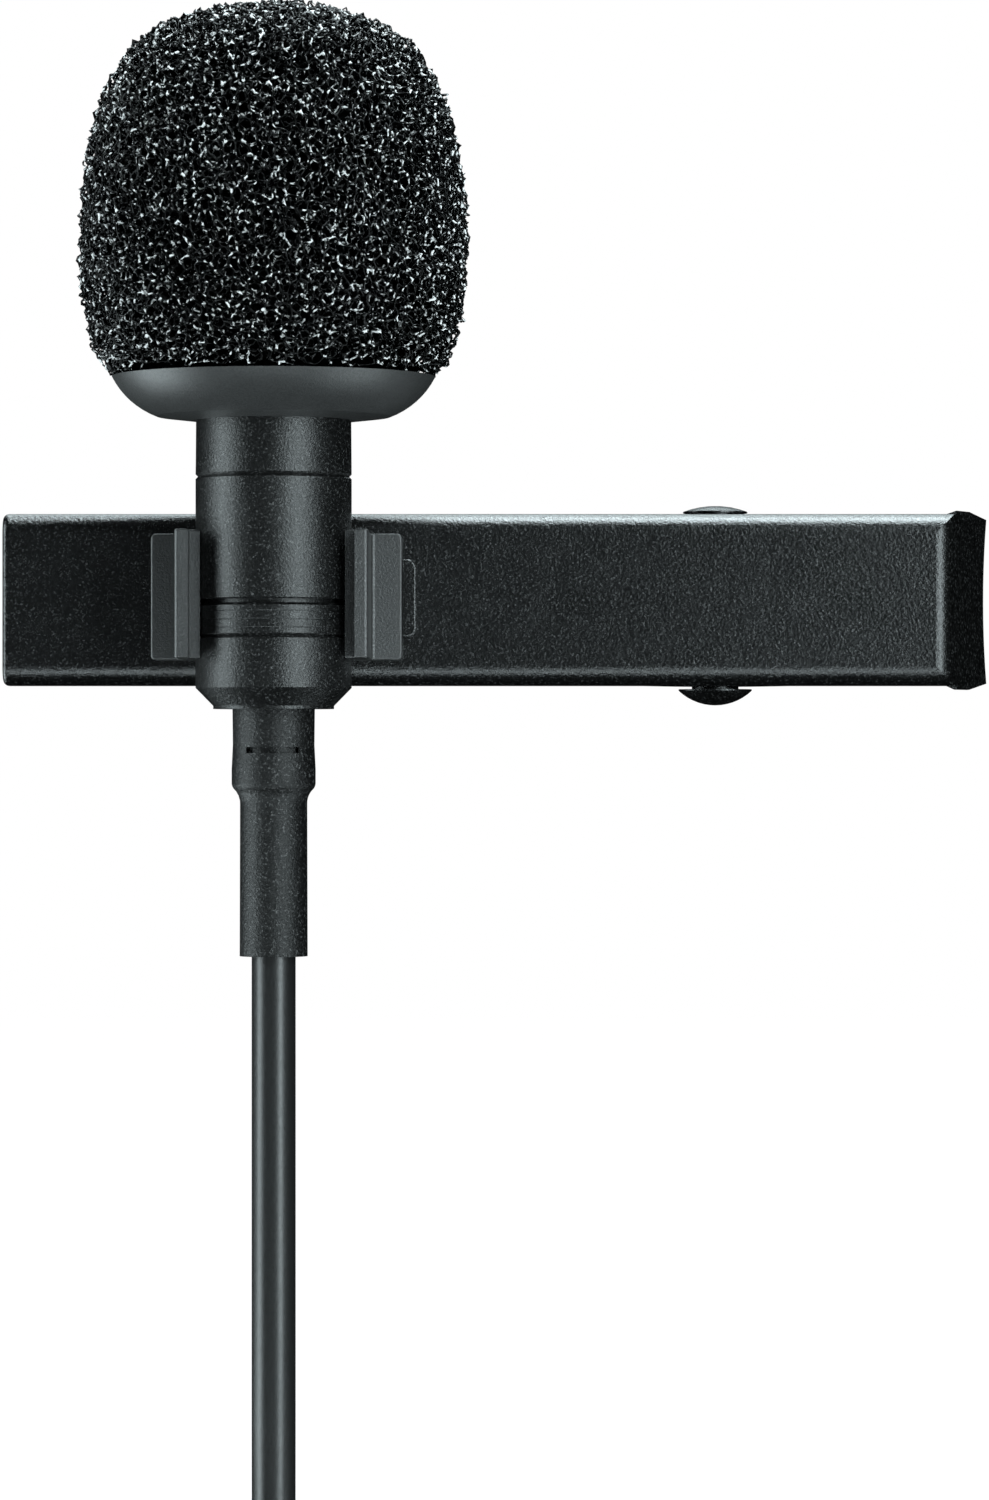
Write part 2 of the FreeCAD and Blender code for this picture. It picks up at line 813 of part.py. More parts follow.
def holder_rivet():
    """A rivet lying along Y, its flat head sunk in the holder and its clinch behind the plate."""
    body = new_body("holder_rivet")
    front = s.holder_bore + 0.05
    head_floor = front + s.rivet_head_height
    plate_back = s.plate_back - s.mic_axis_y
    sketch = new_sketch(body, "Profile", "XY_Plane")
    outline(
        sketch,
        [
            (0, front),
            (s.rivet_head, front),
            (s.rivet_head, head_floor),
            (s.rivet_radius, head_floor),
            (s.rivet_radius, plate_back),
            (s.rivet_head, plate_back),
            (s.rivet_head - 0.3, plate_back + 0.25),
            (0, plate_back + 0.25),
        ],
    )
    feature = body.newObject("PartDesign::Revolution", "Turned")
    feature.Profile = sketch
    feature.ReferenceAxis = (sketch, ["V_Axis"])
    feature.Angle = 360
    place(body, s.mic_axis_x, s.mic_axis_y, s.holder_centre_z)
    keep(body, "holder_rivet")


def pin_hole(name, x, y, radius, half_length):
    hole = doc.addObject("Part::Cylinder", name)
    bind(hole, "Radius", radius)
    bind(hole, "Height", half_length * 2)
    place(hole, x, y, -half_length)
    return hole


def front_plate():
    """A pressed tray with flanges turned back along its top, bottom and right end, and two pivot ears."""
    half, sheet_wall = s.plate_half_height, s.plate_sheet
    face = s.plate_back - sheet_wall
    edge = face + s.plate_flange
    right, slope = s.plate_right, s.end_slope
    end_x = right + (s.end_depth - face) * slope
    inner_right = right + sheet_wall * (s.end_slope.value - math.hypot(1, s.end_slope.value))

    def tray(name, left, near_y, corner_x, far_y, half_height):
        """A bar whose right end leans back by the end slope."""
        corners = [
            (left, near_y),
            (corner_x, near_y),
            (corner_x + (far_y - near_y) * slope, far_y),
            (left, far_y),
        ]
        return prism(name, corners, -half_height, half_height)

    def bends(near_y, corner_x, half_height):
        def chosen(a, b):
            level = near(a.y, near_y.value) and near(b.y, near_y.value)
            long_edge = near(abs(a.z), half_height.value) and near(a.z, b.z)
            end_edge = near(a.x, corner_x.value) and near(b.x, corner_x.value)
            return level and (long_edge or end_edge)

        return chosen

    outer = tray("PlateOuter", s.plate_left, face, right, edge, half)
    outer = rounded("PlateOuterBent", outer, bends(face, right, half), s.plate_bend)

    def cut_edges(a, b):
        at_end = near(a.x, s.plate_left.value) and near(b.x, s.plate_left.value)
        return at_end and min(a.y, b.y) < edge.value - 0.01

    outer = rounded("PlateOuterSoft", outer, cut_edges, s.plate_cut_edge)
    inner_half = half - sheet_wall
    inner = tray("PlateInner", s.plate_left - 1, s.plate_back, inner_right, edge + 1, inner_half)
    inner_bends = bends(s.plate_back, inner_right, inner_half)
    inner = rounded("PlateInnerBent", inner, inner_bends, s.plate_bend - sheet_wall)
    hollow = without("PlateTray", outer, inner)
    steepness = math.hypot(1, slope.value)
    wall_start = s.plate_back + s.end_overlap
    wall_shift = sheet_wall * steepness
    wall = prism(
        "EndWall",
        [
            (right + (wall_start - face) * slope, wall_start),
            (end_x, s.end_depth),
            (end_x - sheet_wall / steepness, s.end_depth + sheet_wall * slope / steepness),
            (right + (wall_start - face) * slope - wall_shift, wall_start),
        ],
        -half - 1,
        half + 1,
    )
    plan = new_body("EndPlan")
    sketch = new_sketch(plan, "EndPlanOutline", "XZ_Plane")
    outline(
        sketch,
        [
            (right - 3, -half),
            (right, -half),
            (s.end_flare_x, -s.end_flare_half),
            (s.end_flare_far_x, -s.end_flare_half),
            (end_x, -s.end_tip_half, -s.end_hollow_radius),
            (end_x, s.end_tip_half),
            (s.end_flare_far_x, s.end_flare_half),
            (s.end_flare_x, s.end_flare_half),
            (right, half),
            (right - 3, half),
        ],
    )
    pad = plan.newObject("PartDesign::Pad", "EndPlanPad")
    pad.Profile = sketch
    bind(pad, "Length", s.end_depth * 4)
    pad.Midplane = True
    end_wall = doc.addObject("Part::Common", "EndWallCut")
    end_wall.Base, end_wall.Tool = wall, plan
    x = s.pin_axis_x
    ear = [
        (x - s.ear_half_foot, edge - 0.4),
        (x + s.ear_half_foot, edge - 0.4),
        (x + s.ear_half_shoulder, s.ear_shoulder),
        (x + s.ear_half_top, s.ear_top),
        (x - s.ear_half_top, s.ear_top),
        (x - s.ear_half_shoulder, s.ear_shoulder),
    ]
    ears = [
        prism("PlateEarTop", ear, half - sheet_wall, half),
        prism("PlateEarBottom", ear, -half, -half + sheet_wall),
    ]
    tab_low = (s.tab_left, face - s.tab_rise, s.tab_bottom)
    tab_high = (s.tab_left + s.tab_width, face + 0.1, s.tab_bottom + s.tab_height)
    tab = block("HolderTab", tab_low, tab_high)

    tab_right = (s.tab_left + s.tab_width).value

    def tab_corners(a, b):
        return near(a.x, tab_right) and near(b.x, tab_right) and near(a.z, b.z)

    def tab_edges(a, b):
        return max(a.y, b.y) < face.value - 0.01 and max(a.x, b.x) > s.tab_left.value + 0.01

    tab = rounded("HolderTabCornered", tab, tab_corners, s.tab_corner)
    tab = rounded("HolderTabRounded", tab, tab_edges, s.tab_edge)
    pressed = joined("PlatePressed", [hollow, end_wall, *ears, tab])
    pin_tool = pin_hole("PlatePinHole", x, s.pin_axis_y, s.pin_hole, half + 1)
    drilled = without("PlatePinned", pressed, pin_tool)
    hole = doc.addObject("Part::Cylinder", "PlateRivetHole")
    bind(hole, "Radius", s.rivet_radius)
    bind(hole, "Height", sheet_wall + 1)
    hole.Placement.Rotation = FreeCAD.Rotation(FreeCAD.Vector(1, 0, 0), -90)
    place(hole, s.mic_axis_x, face - 0.5, s.holder_centre_z)
    keep(without("clip_front_plate", drilled, hole), "clip_front_plate")


def rear_lever():
    """A bent lever: a toothed lip, a flat jaw, ears on the pivot pin and a flared thumb end."""
    wall, inner, half = s.lever_sheet, s.lever_inner, s.lever_half_width
    outer, lip = inner + wall, wall / 2
    full = s.thumb_half + 1
    section = [
        (-lip, s.tooth_tip),
        (lip, s.tooth_tip),
        (lip, inner),
        (s.lever_bend_x + 0.1, inner),
        (s.thumb_end_x - 0.18, s.thumb_end_y - wall * 0.945),
        (s.thumb_end_x, s.thumb_end_y),
        (s.lever_bend_x, outer),
        (-lip, outer),
    ]
    strip = prism("LeverStrip", section, -full, full)

    def bends(a, b):
        upright = near(a.x, b.x) and near(a.y, b.y)
        return upright and a.x < 1 and near(a.y, outer.value)

    strip = rounded("LeverStripBent", strip, bends, wall * 1.6)

    def inner_bend(a, b):
        return near(a.x, b.x) and near(a.y, b.y) and near(a.x, lip.value) and near(a.y, inner.value)

    strip = rounded("LeverStripSoft", strip, inner_bend, wall * 0.6)
    plan = new_body("LeverPlan")
    sketch = new_sketch(plan, "PlanOutline", "XZ_Plane")
    outline(
        sketch,
        [
            (-lip - 1, -half),
            (s.thumb_start_x, -half),
            (s.thumb_flare_x, -s.thumb_half),
            (s.thumb_end_x - s.thumb_corner, -s.thumb_half, s.thumb_corner),
            (s.thumb_end_x + 0.01, s.thumb_corner - s.thumb_half),
            (s.thumb_end_x + 0.01, s.thumb_half - s.thumb_corner, s.thumb_corner),
            (s.thumb_end_x - s.thumb_corner, s.thumb_half),
            (s.thumb_flare_x, s.thumb_half),
            (s.thumb_start_x, half),
            (-lip - 1, half),
        ],
    )
    pad = plan.newObject("PartDesign::Pad", "PlanPad")
    pad.Profile = sketch
    bind(pad, "Length", s.thumb_end_y * 2 + 4)
    pad.Midplane = True
    cut = doc.addObject("Part::Common", "LeverCut")
    cut.Base, cut.Tool = strip, plan
    side = [
        (s.lever_flange_start, s.lever_flange_edge),
        (s.lever_ear_start, s.lever_flange_edge),
        (s.lever_ear_left, s.lever_ear_edge),
        (s.lever_ear_right, s.lever_ear_edge),
        (s.lever_ear_right, inner + 0.2),
        (s.lever_flange_start, inner + 0.2),
    ]
    flanges = [
        prism("LeverFlangeTop", side, half - wall, half),
        prism("LeverFlangeBottom", side, -half, -half + wall),
    ]
    whole = joined("LeverWhole", [cut, *flanges])
    tools = [pin_hole("LeverPinHole", s.pin_axis_x, s.pin_axis_y, s.pin_hole, half + 1)]
    for i in range(-4, 4):
        notch = new_body(f"ToothNotch{i + 5}")
        notch_sketch = new_sketch(notch, f"ToothNotchSketch{i + 5}", "YZ_Plane")
        middle = s.tooth_pitch * (i + 0.5)
        low = s.tooth_tip - 0.05
        outline(
            notch_sketch,
            [
                (low, middle - s.tooth_pitch * 0.42),
                (s.tooth_tip + s.tooth_depth, middle),
                (low, middle + s.tooth_pitch * 0.42),
            ],
        )
        notch_pad = notch.newObject("PartDesign::Pad", f"ToothNotchPad{i + 5}")
        notch_pad.Profile = notch_sketch
        bind(notch_pad, "Length", wall * 2)
        notch_pad.Midplane = True
        tools.append(notch)
    keep(without("clip_rear_lever", whole, joined("LeverTools", tools)), "clip_rear_lever")


def dome(rim, rise):
    """The radius of a round dome of that rim radius and rise."""
    return (rim * rim + rise * rise) / (rise * 2)


def pivot_pin():
    """A rivet through both pairs of ears: a flat head on top and a domed one below."""
    top, neck = s.plate_half_height + s.fit_gap, s.pin_neck_height
    under = -top
    top_rim = top + neck + s.pin_head_edge
    bottom_rim = under - neck - s.pin_head_edge
    bottom = under - s.pin_bottom_height
    turned(
        "clip_pivot_pin",
        [
            (0, bottom, dome(s.pin_bottom_head, bottom_rim - bottom)),
            (s.pin_bottom_head, bottom_rim),
            (s.pin_bottom_head, under - neck),
            (s.pin_neck, under - neck),
            (s.pin_neck, under),
            (s.pin_radius, under),
            (s.pin_radius, top),
            (s.pin_neck, top),
            (s.pin_neck, top + neck),
            (s.pin_top_head, top + neck),
            (s.pin_top_head, top_rim, dome(s.pin_top_head, top + s.pin_top_height - top_rim)),
            (0, top + s.pin_top_height),
        ],
        s.pin_axis_x,
        s.pin_axis_y,
    )


# The cord, its coil and the plug


def route_tube(label, points, radius, bends):
    """A round tube along straight runs, with an arc at each corner. Returns its length."""
    edges, last = [], points[0]
    length = 0.0
    for i in range(1, len(points) - 1):
        before, corner, after = points[i - 1 : i + 2]
        back, ahead = (before - corner), (after - corner)
        turn = math.pi - back.getAngle(ahead)
        trim = 0.45 * min(back.Length, ahead.Length)
        start = corner + back.normalize() * trim
        end = corner + ahead.normalize() * trim
        bend = trim / math.tan(turn / 2)
        towards = (start + end) / 2 - corner
        middle = corner + towards.normalize() * (bend / math.cos(turn / 2) - bend)
        bends.append(bend)
        edges += [Part.LineSegment(last, start), Part.Arc(start, middle, end)]
        length += (start - last).Length + bend * turn
        last = end
    edges.append(Part.LineSegment(last, points[-1]))
    length += (points[-1] - last).Length
    path = Part.Wire([edge.toShape() for edge in edges])
    section = Part.Wire(Part.Circle(points[0], points[1] - points[0], radius).toShape())
    item = doc.addObject("Part::Feature", label)
    item.Shape = path.makePipeShell([section], True, False)
    expected = math.pi * radius * radius * length
    assert abs(item.Shape.Volume / expected - 1) < 0.02, f"{label} isn't a sound tube"
    keep(item, label)
    return length


def torsion_spring():
    """A coil round the pin whose two legs push the thumb ends apart."""
    wire = s.spring_wire.value
    x, y = s.pin_axis_x.value, s.pin_axis_y.value
    lever_y = s.lever_inner.value - wire - s.spring_clearance.value
    plate_y = s.plate_back.value + wire + s.fit_gap.value
    rise = s.thumb_end_y - s.lever_sheet - s.lever_inner
    slope = (rise / (s.thumb_end_x - s.lever_bend_x)).value
    bend_x, end_x = s.lever_bend_x.value, x + s.spring_leg.value
    half = s.spring_pitch.value * s.spring_turns.value / 2
    sides = 8
    count = round(s.spring_turns.value * sides)
    corner = s.spring_radius.value / math.cos(math.pi / sides)
    points = [FreeCAD.Vector(end_x, plate_y, half)]
    for i in range(count):
        angle = -math.pi / 2 - 2 * math.pi * (i + 0.5) / sides
        height = half - 2 * half * (i + 0.5) / count
        points.append(FreeCAD.Vector(x + corner * math.cos(angle), y + corner * math.sin(angle), height))
    points.append(FreeCAD.Vector(bend_x, lever_y, -half))
    points.append(FreeCAD.Vector(end_x, lever_y + (end_x - bend_x) * slope, -half))
    route_tube("clip_torsion_spring", points, wire, [])


def cord_points():
    """The lead's corners: from the crimp straight down, then aside to meet the coil's outer turn."""
    angle = math.radians(s.coil_entry_angle.value)
    across = (s.coil_outer.value - s.cord_radius.value) * math.cos(angle)
    rise = (s.coil_outer.value - s.cord_radius.value) * math.sin(angle)
    x, y, centre = s.mic_axis_x.value, s.mic_axis_y.value, s.coil_centre_z.value
    down = [
        FreeCAD.Vector(x, y, s.cord_inner_end.value),
        FreeCAD.Vector(x, y, s.cord_bend_z.value),
        FreeCAD.Vector(x - across, y - s.coil_offset.value, centre + rise),
    ]
    out = [
        FreeCAD.Vector(x - across, y + s.coil_offset.value, centre - rise),
        FreeCAD.Vector(x, y, 2 * centre - s.cord_bend_z.value),
        FreeCAD.Vector(x, y, s.plug_top.value - s.plug_relief_length.value),
    ]
    return down, out


def cord():
    """The lead, the solid of its coil, the tail to the plug, and the tie round the coil."""
    down, out = cord_points()
    bends = []
    total = route_tube("cord", down, s.cord_radius.value, bends)
    total += route_tube("cord_tail", out, s.cord_radius.value, bends)
    print("cord bends, mm:", [round(b, 2) for b in bends], "uncoiled length, mm:", round(total, 1))
    inner, outer, depth = s.coil_inner, s.coil_outer, s.coil_depth / 2
    body = new_body("cord_coil")
    edge = s.cord_radius
    sketch = new_sketch(body, "Section", "XY_Plane")
    outline(
        sketch,
        [
            (inner + edge, -depth),
            (outer - edge, -depth, edge),
            (outer, -depth + edge),
            (outer, depth - edge, edge),
            (outer - edge, depth),
            (inner + edge, depth, edge),
            (inner, depth - edge),
            (inner, -depth + edge, edge),
        ],
    )
    feature = body.newObject("PartDesign::Revolution", "Turned")
    feature.Profile = sketch
    feature.ReferenceAxis = (sketch, ["V_Axis"])
    feature.Angle = 360
    place(body, s.mic_axis_x, s.mic_axis_y, s.coil_centre_z)
    keep(body, "cord_coil")

    wall, slack = s.tie_thickness, 0.05
    left, right = s.mic_axis_x - outer - slack, s.mic_axis_x - inner + 0.7
    low, high = s.mic_axis_y - depth - slack, s.mic_axis_y + depth + slack
    bottom, top = s.coil_centre_z - s.tie_width / 2, s.coil_centre_z + s.tie_width / 2
    band = block("TieOuter", (left - wall, low - wall, bottom), (right + wall, high + wall, top))

    def upright(a, b):
        return near(a.x, b.x) and near(a.y, b.y)

    band = rounded("TieOuterRound", band, upright, wall * 2)
    opening = block("TieInner", (left, low, bottom - 1), (right, high, top + 1))
    keep(without("cable_tie", band, opening), "cable_tie")


def plug():
    """A 3.5 mm three-pole plug hanging by the tail of the lead, its tip down."""
    top = s.plug_top
    handle_top = top - s.plug_relief_length
    handle_bottom = handle_top - s.plug_handle_length
    bore = s.cord_radius + s.fit_gap
    turned(
        "plug_strain_relief",
        [
            (bore, top),
            (s.plug_relief_top, top),
            (s.plug_relief_bottom, handle_top),
            (s.plug_relief_bottom, handle_top - 2),
            (bore, handle_top - 2),
        ],
    )
    radius, wall = s.plug_handle_radius, s.plug_handle_wall
    turned(
        "plug_handle",
        [
            (s.plug_relief_bottom + s.fit_gap, handle_top),
            (radius - 0.5, handle_top),
            (radius, handle_top - 0.9),
            (radius, handle_bottom + 0.6),
            (radius - 0.4, handle_bottom),
            (s.plug_collar_radius + s.fit_gap, handle_bottom),
            (s.plug_collar_radius + s.fit_gap, handle_bottom + 3),
            (radius - wall, handle_bottom + 3),
            (radius - wall, handle_top - 2),
            (s.plug_relief_bottom + s.fit_gap, handle_top - 2),
        ],
    )
    shaft = s.plug_shaft_radius
    sleeve_bottom = handle_bottom - s.plug_sleeve_length
    ring_top = sleeve_bottom - s.plug_gap
    ring_bottom = ring_top - s.plug_ring_length
    tip_top = ring_bottom - s.plug_gap
    end = handle_bottom - s.plug_shaft_length
    core, sheath = s.plug_core, s.plug_core + 0.3
    turned(
        "plug_sleeve",
        [
            (sheath + 0.25, sleeve_bottom),
            (shaft, sleeve_bottom),
            (shaft, handle_bottom - s.plug_collar_height),
            (s.plug_collar_radius, handle_bottom - s.plug_collar_height),
            (s.plug_collar_radius, handle_bottom + 3),
            (sheath + 0.25, handle_bottom + 3),
        ],
    )
    turned(
        "plug_insulator_upper",
        [
            (sheath, ring_top),
            (shaft, ring_top),
            (shaft, sleeve_bottom),
            (sheath + 0.25, sleeve_bottom),
            (sheath + 0.25, handle_bottom + 3.4),
            (sheath, handle_bottom + 3.4),
        ],
    )
    turned(
        "plug_ring",
        [
            (core + 0.15, ring_bottom),
            (shaft, ring_bottom),
            (shaft, ring_top),
            (sheath, ring_top),
            (sheath, handle_bottom + 3.8),
            (core + 0.15, handle_bottom + 3.8),
        ],
    )
    turned(
        "plug_insulator_lower",
        [
            (core, tip_top),
            (shaft, tip_top),
            (shaft, ring_bottom),
            (core + 0.15, ring_bottom),
            (core + 0.15, handle_bottom + 4.2),
            (core, handle_bottom + 4.2),
        ],
    )
    turned(
        "plug_tip",
        [
            (0, end),
            (0.55, end),
            (shaft, end + 1.3),
            (shaft - 0.45, tip_top - 0.75),
            (shaft, tip_top - 0.2),
            (shaft, tip_top),
            (core, tip_top),
            (core, handle_bottom + 4.6),
            (0, handle_bottom + 4.6),
        ],
    )


def write_parts():
    """Checks every object and every sub-part, then writes each sub-part to its own file."""
    doc.recompute()
    for item in doc.Objects:
        if "Invalid" in item.State or "Error" in item.State:
            raise RuntimeError(f"{item.Label} failed: {item.State}")
    for item in nodes:
        if item.Shape.isNull() or not item.Shape.isValid() or not item.Shape.Solids:
            raise RuntimeError(f"{item.Label} isn't a sound solid")
    os.makedirs("parts", exist_ok=True)
    for item in nodes:
        item.Shape.exportStep(f"parts/{item.Label}.step")
    print(len(nodes), "sub-parts written")


windscreen_collar()
foam_windscreen()
grille_cap()
capsule()
housing()
strain_relief()
mic_holder()
holder_rivet()
front_plate()
rear_lever()
pivot_pin()
torsion_spring()
cord()
plug()
write_parts()
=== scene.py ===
"""Lavalier microphone: the looks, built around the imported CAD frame."""

import math

import bmesh
import bpy
import numpy as np
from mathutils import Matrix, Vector


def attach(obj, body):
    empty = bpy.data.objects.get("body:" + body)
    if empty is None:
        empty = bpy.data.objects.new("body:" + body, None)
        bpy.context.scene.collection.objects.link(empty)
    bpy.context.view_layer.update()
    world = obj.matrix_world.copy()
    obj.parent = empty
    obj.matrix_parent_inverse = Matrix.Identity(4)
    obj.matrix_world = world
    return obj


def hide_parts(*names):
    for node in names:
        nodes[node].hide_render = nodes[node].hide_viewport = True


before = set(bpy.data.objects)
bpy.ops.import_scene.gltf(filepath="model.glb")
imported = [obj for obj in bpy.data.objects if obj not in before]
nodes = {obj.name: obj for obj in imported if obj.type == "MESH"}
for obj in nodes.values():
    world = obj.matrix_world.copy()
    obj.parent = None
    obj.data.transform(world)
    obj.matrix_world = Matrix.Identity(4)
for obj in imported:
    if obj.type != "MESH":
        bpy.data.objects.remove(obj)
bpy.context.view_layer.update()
MM = 0.001


def mm(x, y, z):
    return Vector((x * MM, y * MM, z * MM))


# Camera

CAMERA_SPOT = (23.54, -286.4, -7.65)
SENSOR_HEIGHT = 36.0
LENS = 134.9


def add_camera():
    """Looks straight at the front of the clip, as far away as the picture's perspective says."""
    data = bpy.data.cameras.new("camera")
    data.sensor_fit = "VERTICAL"
    data.sensor_height = SENSOR_HEIGHT
    data.lens = LENS
    data.clip_start = 0.01
    data.clip_end = 20.0
    camera = bpy.data.objects.new("camera", data)
    camera.location = mm(*CAMERA_SPOT)
    camera.rotation_euler = (math.radians(90), 0, 0)
    bpy.context.scene.collection.objects.link(camera)
    bpy.context.scene.camera = camera


# The cord: sizes in millimetres, its length in metres

CORD = 2.2
AXIS_X, AXIS_Y = 12.5, -5.4
COIL_Z = -70.5
COIL_OUT = 16.1
COIL_IN = 7.13
COIL_START = 125
LAYERS = 4
LAYER_TURNS = 4.0764
LAYER_STEP = 0.16
STEPS_PER_TURN = 16


def coil_points():
    """Flat layers of turns, wound inwards and outwards in turn, with a short step between layers."""
    points = []
    first = math.radians(COIL_START)
    total = LAYERS * LAYER_TURNS
    front = -(LAYERS - 1) / 2 * CORD
    count = round(total * STEPS_PER_TURN)
    grow = 2 / (1 + math.cos(math.pi / STEPS_PER_TURN))
    for i in range(count + 1):
        turned = total * i / count
        layer = min(int(turned / LAYER_TURNS), LAYERS - 1)
        along = turned / LAYER_TURNS - layer
        inward = along if layer % 2 == 0 else 1 - along
        radius = (COIL_OUT + (COIL_IN - COIL_OUT) * inward) * grow
        depth = front + layer * CORD
        for edge in range(1, LAYERS):
            off = turned - edge * LAYER_TURNS
            if abs(off) < LAYER_STEP / 2:
                depth = front + (edge - 0.5 + off / LAYER_STEP) * CORD
        angle = first + 2 * math.pi * turned
        points.append((AXIS_X + radius * math.cos(angle), AXIS_Y + depth, COIL_Z + radius * math.sin(angle)))
    return points


def add_cord():
    """The whole lead as one line. Its points hold the radius, so that its bounds fit the tube."""
    route = [
        (AXIS_X, AXIS_Y, -13.0),
        (AXIS_X, AXIS_Y, -26.0),
        (AXIS_X, AXIS_Y, -39.8),
        (AXIS_X, AXIS_Y, -51.0),
        *coil_points(),
        (AXIS_X, AXIS_Y, -90.0),
        (AXIS_X, AXIS_Y, -101.0),
    ]
    curve = bpy.data.curves.new("lead", "CURVE")
    curve.dimensions = "3D"
    curve.bevel_depth = 1.0
    curve.bevel_resolution = 5
    curve.resolution_u = 3
    curve.use_fill_caps = True
    spline = curve.splines.new("NURBS")
    spline.points.add(len(route) - 1)
    for point, spot in zip(spline.points, route):
        point.co = (*mm(*spot), 1.0)
        point.radius = CORD / 2 * MM
    spline.order_u = 3
    spline.use_endpoint_u = True
    lead = bpy.data.objects.new("lead", curve)
    bpy.context.scene.collection.objects.link(lead)
    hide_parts("cord", "cord_coil", "cord_tail")
    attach(lead, "microphone")
    return lead


# Mesh helpers


def new_mesh(name, verts, faces):
    mesh = bpy.data.meshes.new(name)
    mesh.from_pydata([tuple(v) for v in verts], [], faces)
    mesh.validate()
    mesh.update()
    piece = bpy.data.objects.new(name, mesh)
    bpy.context.scene.collection.objects.link(piece)
    return piece


def smooth(piece):
    piece.data.shade_smooth()
    return piece


def about_axis(verts):
    """Points in millimetres round the microphone's axis, moved to where it stands, in metres."""
    return (np.array(verts) + (AXIS_X, AXIS_Y, 0)) * MM


# Materials


class Shader:
    """A principled material with helpers that add and link its nodes."""

    def __init__(self, name, color, roughness, metallic=0.0, specular=0.5):
        self.material = bpy.data.materials.new(name)
        self.material.use_nodes = True
        self.tree = self.material.node_tree
        self.shader = self.tree.nodes["Principled BSDF"]
        self.shader.inputs["Base Color"].default_value = (*color, 1)
        self.shader.inputs["Roughness"].default_value = roughness
        self.shader.inputs["Metallic"].default_value = metallic
        self.shader.inputs["Specular IOR Level"].default_value = specular
        self.place = self.add("ShaderNodeTexCoord").outputs["Object"]

    def add(self, kind, **settings):
        node = self.tree.nodes.new(kind)
        for name, value in settings.items():
            setattr(node, name, value)
        return node

    def link(self, output, node, socket):
        self.tree.links.new(output, node.inputs[socket])

    def stretched(self, scale):
        """The object coordinates scaled along each axis."""
        node = self.add("ShaderNodeMapping")
        node.inputs["Scale"].default_value = scale
        self.link(self.place, node, "Vector")
        return node.outputs["Vector"]

    def noise(self, size_mm, detail=2.0, rough=0.5, vector=None):
        node = self.add("ShaderNodeTexNoise")
        node.inputs["Scale"].default_value = 1 / (size_mm * MM)
        node.inputs["Detail"].default_value = detail
        node.inputs["Roughness"].default_value = rough
        self.link(vector or self.place, node, "Vector")
        return node.outputs["Fac"]

    def cells(self, size_mm):
        node = self.add("ShaderNodeTexVoronoi")
        node.inputs["Scale"].default_value = 1 / (size_mm * MM)
        self.link(self.place, node, "Vector")
        return node.outputs["Distance"]

    def ramp(self, value, stops):
        """A colour ramp through (position, colour) stops."""
        node = self.add("ShaderNodeValToRGB")
        while len(node.color_ramp.elements) < len(stops):
            node.color_ramp.elements.new(0.5)
        for element, (position, color) in zip(node.color_ramp.elements, stops):
            element.position = position
            element.color = (*color, 1)
        self.link(value, node, "Fac")
        return node.outputs["Color"]

    def scaled(self, value, low, high, new_low, new_high):
        """The value with low to high spread over new_low to new_high."""
        node = self.add("ShaderNodeMapRange")
        node.inputs["From Min"].default_value = low
        node.inputs["From Max"].default_value = high
        node.inputs["To Min"].default_value = new_low
        node.inputs["To Max"].default_value = new_high
        self.link(value, node, "Value")
        return node.outputs["Result"]

    def combine(self, a, b, operation="ADD"):
        node = self.add("ShaderNodeMath", operation=operation)
        for i, value in enumerate((a, b)):
            if isinstance(value, float):
                node.inputs[i].default_value = value
            else:
                self.tree.links.new(value, node.inputs[i])
        return node.outputs["Value"]

    def color(self, output):
        self.link(output, self.shader, "Base Color")

    def roughness(self, output):
        self.link(output, self.shader, "Roughness")

    def bump(self, height, depth_mm):
        node = self.add("ShaderNodeBump")
        node.inputs["Distance"].default_value = depth_mm * MM
        self.link(height, node, "Height")
        self.link(node.outputs["Normal"], self.shader, "Normal")


def grey(level):
    return (level, level, level)


DARK_END, LIGHT_END, FLECK_END = 0.38, 0.58, 0.7
BROAD_GRAIN = 9
BROAD_SHARE = 0.35
ROUGHNESS_SPREAD = 0.1


def grained(name, dark, light, size_mm, roughness, depth_mm, specular=0.5, fleck=None):
    """A coat with a fine grain: light and dark specks, a bump of the same grain, and pale flecks."""
    look = Shader(name, dark, roughness, specular=specular)
    grain = look.noise(size_mm, detail=3.0, rough=0.65)
    broad = look.noise(size_mm * BROAD_GRAIN, detail=2.0)
    stops = [(DARK_END, dark), (LIGHT_END, light)]
    if fleck is not None:
        stops.append((FLECK_END, fleck))
    look.color(look.ramp(grain, stops))
    mixed = look.combine(grain, look.combine(broad, BROAD_SHARE, "MULTIPLY"))
    rough, shiny = roughness + ROUGHNESS_SPREAD, roughness - ROUGHNESS_SPREAD
    look.roughness(look.scaled(mixed, 0.35, 1.0, rough, shiny))
    look.bump(grain, depth_mm)
    return look.material


def dress(material, *names):
    """Gives CAD nodes a material."""
    for name in names:
        mesh = nodes[name].data
        mesh.materials.clear()
        mesh.materials.append(material)


# The foam windscreen: its outline in shares of its radius and height, its sizes in millimetres

